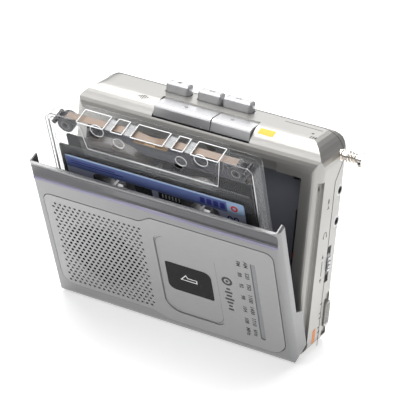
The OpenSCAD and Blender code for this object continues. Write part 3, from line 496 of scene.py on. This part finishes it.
# A slanted arrow made of seven bars, a sticker, three bars beside the microphone hole
play_bars = [(-34.0 + i, -33.5 + i, -4.6 + 0.4 * abs(i - 3), -1.9 - 0.4 * abs(i - 3), 0.5) for i in range(7)]
wrapped("play_print", ink, play_bars)
wrapped("record_sticker", yellow, [(27.2, 34.6, -5.6, -2.6, 0.3)])
wrapped("microphone_print", ink, [(49.4 + 1.1 * i, 49.9 + 1.1 * i, -0.6, 1.2, 0.2) for i in range(3)])
sheet_of("top_line_print", "housing", ink, [box_line(33.0, 9.3, 51.0, 9.6)],
         facing_top(TOP_Z))


# ---- Marks on the keys ----
def key_print(name, shapes):
    sheet_of(name + "_mark", name, ink, shapes, facing_top(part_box(name)[1].z / MM))


for name, x in (("play_key", -9.1), ("record_key", 13.6)):
    key_print(name, hoop(x, -2.8, 0.75, 0.4))
for name, way in (("stop_key", 0), ("rewind_key", -1), ("forward_key", 1)):
    low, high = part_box(name)
    x, y = (low.x + high.x) / 2 / MM, (low.y + high.y) / 2 / MM
    if way:
        shapes = [[(x + way * (d - 0.55), y - 0.6), (x + way * (d + 0.55), y),
                   (x + way * (d - 0.55), y + 0.6)] for d in (-0.7, 0.7)]
    else:
        shapes = [box_line(x - 0.7, y - 0.6, x + 0.7, y + 0.6)]
    key_print(name, shapes)


# ---- Marks on the right side: beside the sockets, the wheel and the switch ----
def side_print(name, finish, loops):
    sheet_of(name, "housing", finish, loops, facing_side(SIDE_X))


SWITCH_BARS = ((8.0, 2.4), (10.4, 1.4), (15.0, 2.4), (17.4, 1.4), (22.0, 2.4))
arch = [polar(1.2, 57.2, 1.5, a) for a in range(0, 181, 20)]
side_print("headphone_mark", ink,
           [band_line(arch, 0.4), box_line(-0.7, 55.9, 0.1, 57.2, 0.3), box_line(2.3, 55.9, 3.1, 57.2, 0.3)])
side_print("microphone_mark", ink,
           [box_line(0.7, 72.2, 1.9, 74.6, 0.55), box_line(1.1, 70.2, 1.5, 71.6),
            box_line(0.2, 69.9, 2.4, 70.3)])
side_print("tuning_mark", ink,
           [[(0.4, 46.0), (2.2, 46.0), (1.3, 48.0)], [(0.4, 36.0), (2.2, 36.0), (1.3, 34.0)],
            box_line(1.05, 37.4, 1.55, 44.6, 0.2)])
side_print("switch_mark", ink, [box_line(4.4, z, 4.4 + w, z + 0.5) for z, w in SWITCH_BARS])
# A black sheet as painted shade in the notch of the deck
sheet_of("deck_notch_shade", "housing", black_plastic, [box_line(49.6, 60.5, 51.8, 68.5, 0.2)],
         facing_front(-0.02))
side_print("side_sticker", orange, [box_line(-0.6, 4.6, 2.4, 11.4, 0.4)])


# ---- Parting line between the two halves of the housing ----
def tube(name, body, finish, points, radius):
    c = bpy.data.curves.new(name, "CURVE")
    c.dimensions = "3D"
    c.bevel_depth = radius * MM
    c.bevel_resolution = 2
    s = c.splines.new("POLY")
    s.points.add(len(points) - 1)
    for p, q in zip(s.points, points):
        p.co = (q[0] * MM, q[1] * MM, q[2] * MM, 1)
    c.materials.append(finish)
    return settle(bpy.data.objects.new(name, c), body, HOUSING)


seam = [(SIDE_X, 6, 1), (SIDE_X, 6, TOP_Z - 20), (SIDE_X, 13, TOP_Z - CORNER_R)]
for a in range(10, 91, 10):
    x, z = polar(SIDE_X - CORNER_R, TOP_Z - CORNER_R, CORNER_R, a)
    seam.append((x, 13.1, z))
seam += [(-x, y, z) for x, y, z in reversed(seam)]
tube("housing_seam", "housing", seam_and_dimple_shade, seam, 0.13)


# ---- Turned rings on the end of the antenna ----
def turned(name, body, finish, profile, y, z, steps=40):
    """A profile of (x, radius) turned around an axis along x."""
    verts, faces = [], []
    for x, r in profile:
        verts += [(x * MM, y + across * MM, z + along * MM) for across, along in ring_line(0, 0, r, steps)]
    for k in range(len(profile) - 1):
        for i in range(steps):
            j = (i + 1) % steps
            faces.append((k * steps + i, k * steps + j, (k + 1) * steps + j, (k + 1) * steps + i))
    return settle(surface(name, verts, faces, finish, smooth=True), body, HOUSING)


RING_LOW_R = 1.35
tip_low, tip_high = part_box("antenna_tip")
ant_y, ant_z = (tip_low.y + tip_high.y) / 2, (tip_low.z + tip_high.z) / 2
ring_profile = []
for x, r in ((64.0, 2.7), (65.5, 2.5), (67.0, 2.3)):
    ring_profile += [(x - 0.55, RING_LOW_R), (x - 0.5, r - 0.15), (x - 0.35, r),
                     (x + 0.35, r), (x + 0.5, r - 0.15), (x + 0.55, RING_LOW_R)]
turned("antenna_rings", "antenna_inner", chrome, ring_profile, ant_y, ant_z)

# ---- Floor, lights and camera ----
FLOOR_HALF = 4  # metres
FLOOR_GLOW = 0.5
FLOOR_GAP = 0.2
floor_white = material("floor_white", (0.9, 0.9, 0.9), 0.7, grain=20, amount=0.01, depth=0.0)
for n in floor_white.node_tree.nodes:
    if n.type == "BSDF_PRINCIPLED":
        n.inputs["Emission Color"].default_value = (1, 1, 1, 1)
        n.inputs["Emission Strength"].default_value = FLOOR_GLOW
floor = surface("floor", [(x, y, 0) for x, y in box_line(-FLOOR_HALF, -FLOOR_HALF, FLOOR_HALF, FLOOR_HALF)],
                [(0, 1, 2, 3)], floor_white)
bpy.context.scene.collection.objects.link(floor)
floor.location.z = -FLOOR_GAP * MM

world = bpy.data.worlds.new("studio")
bpy.context.scene.world = world
world.use_nodes = True
sky_node = world.node_tree.nodes["Background"]
sky_node.inputs["Color"].default_value = (0.96, 0.97, 1.0, 1)
sky_node.inputs["Strength"].default_value = 0.24

LIGHT_AIM = Vector((0, 0, 0.08))


def softbox(name, where, wide, high, power):
    d = bpy.data.lights.new(name, "AREA")
    d.shape = "RECTANGLE"
    d.size, d.size_y = wide, high
    d.energy = power
    o = bpy.data.objects.new(name, d)
    bpy.context.scene.collection.objects.link(o)
    o.location = where
    o.rotation_euler = (LIGHT_AIM - Vector(where)).to_track_quat("-Z", "Y").to_euler()


softbox("top_light", (-0.15, 0.15, 0.85), 0.9, 0.7, 9.0)
softbox("front_light", (-0.45, -0.75, 0.8), 0.6, 0.5, 2.6)
softbox("back_light", (-0.5, 0.95, 0.62), 0.9, 0.5, 2.1)

scene = bpy.context.scene
scene.view_settings.view_transform = "Standard"
camera_data = bpy.data.cameras.new("camera")
camera = bpy.data.objects.new("camera", camera_data)
scene.collection.objects.link(camera)
scene.camera = camera
AZIMUTH, ELEVATION, ROLL = math.radians(26.32), math.radians(24.15), math.radians(4.9)
DISTANCE, TARGET = 0.9618, Vector((-0.0001, 0, 0.0574))
camera_data.lens = 194.8
camera_data.sensor_width = 36.0
back = Vector((math.sin(AZIMUTH) * math.cos(ELEVATION), -math.cos(AZIMUTH) * math.cos(ELEVATION),
               math.sin(ELEVATION)))
right = Vector((math.cos(AZIMUTH), math.sin(AZIMUTH), 0))
up = back.cross(right)
level = Matrix((right, up, back)).transposed()
turn = level @ Matrix.Rotation(ROLL, 3, "Z")
camera.matrix_world = Matrix.Translation(TARGET + back * DISTANCE) @ turn.to_4x4()
camera_data.clip_start, camera_data.clip_end = 0.05, 20.0
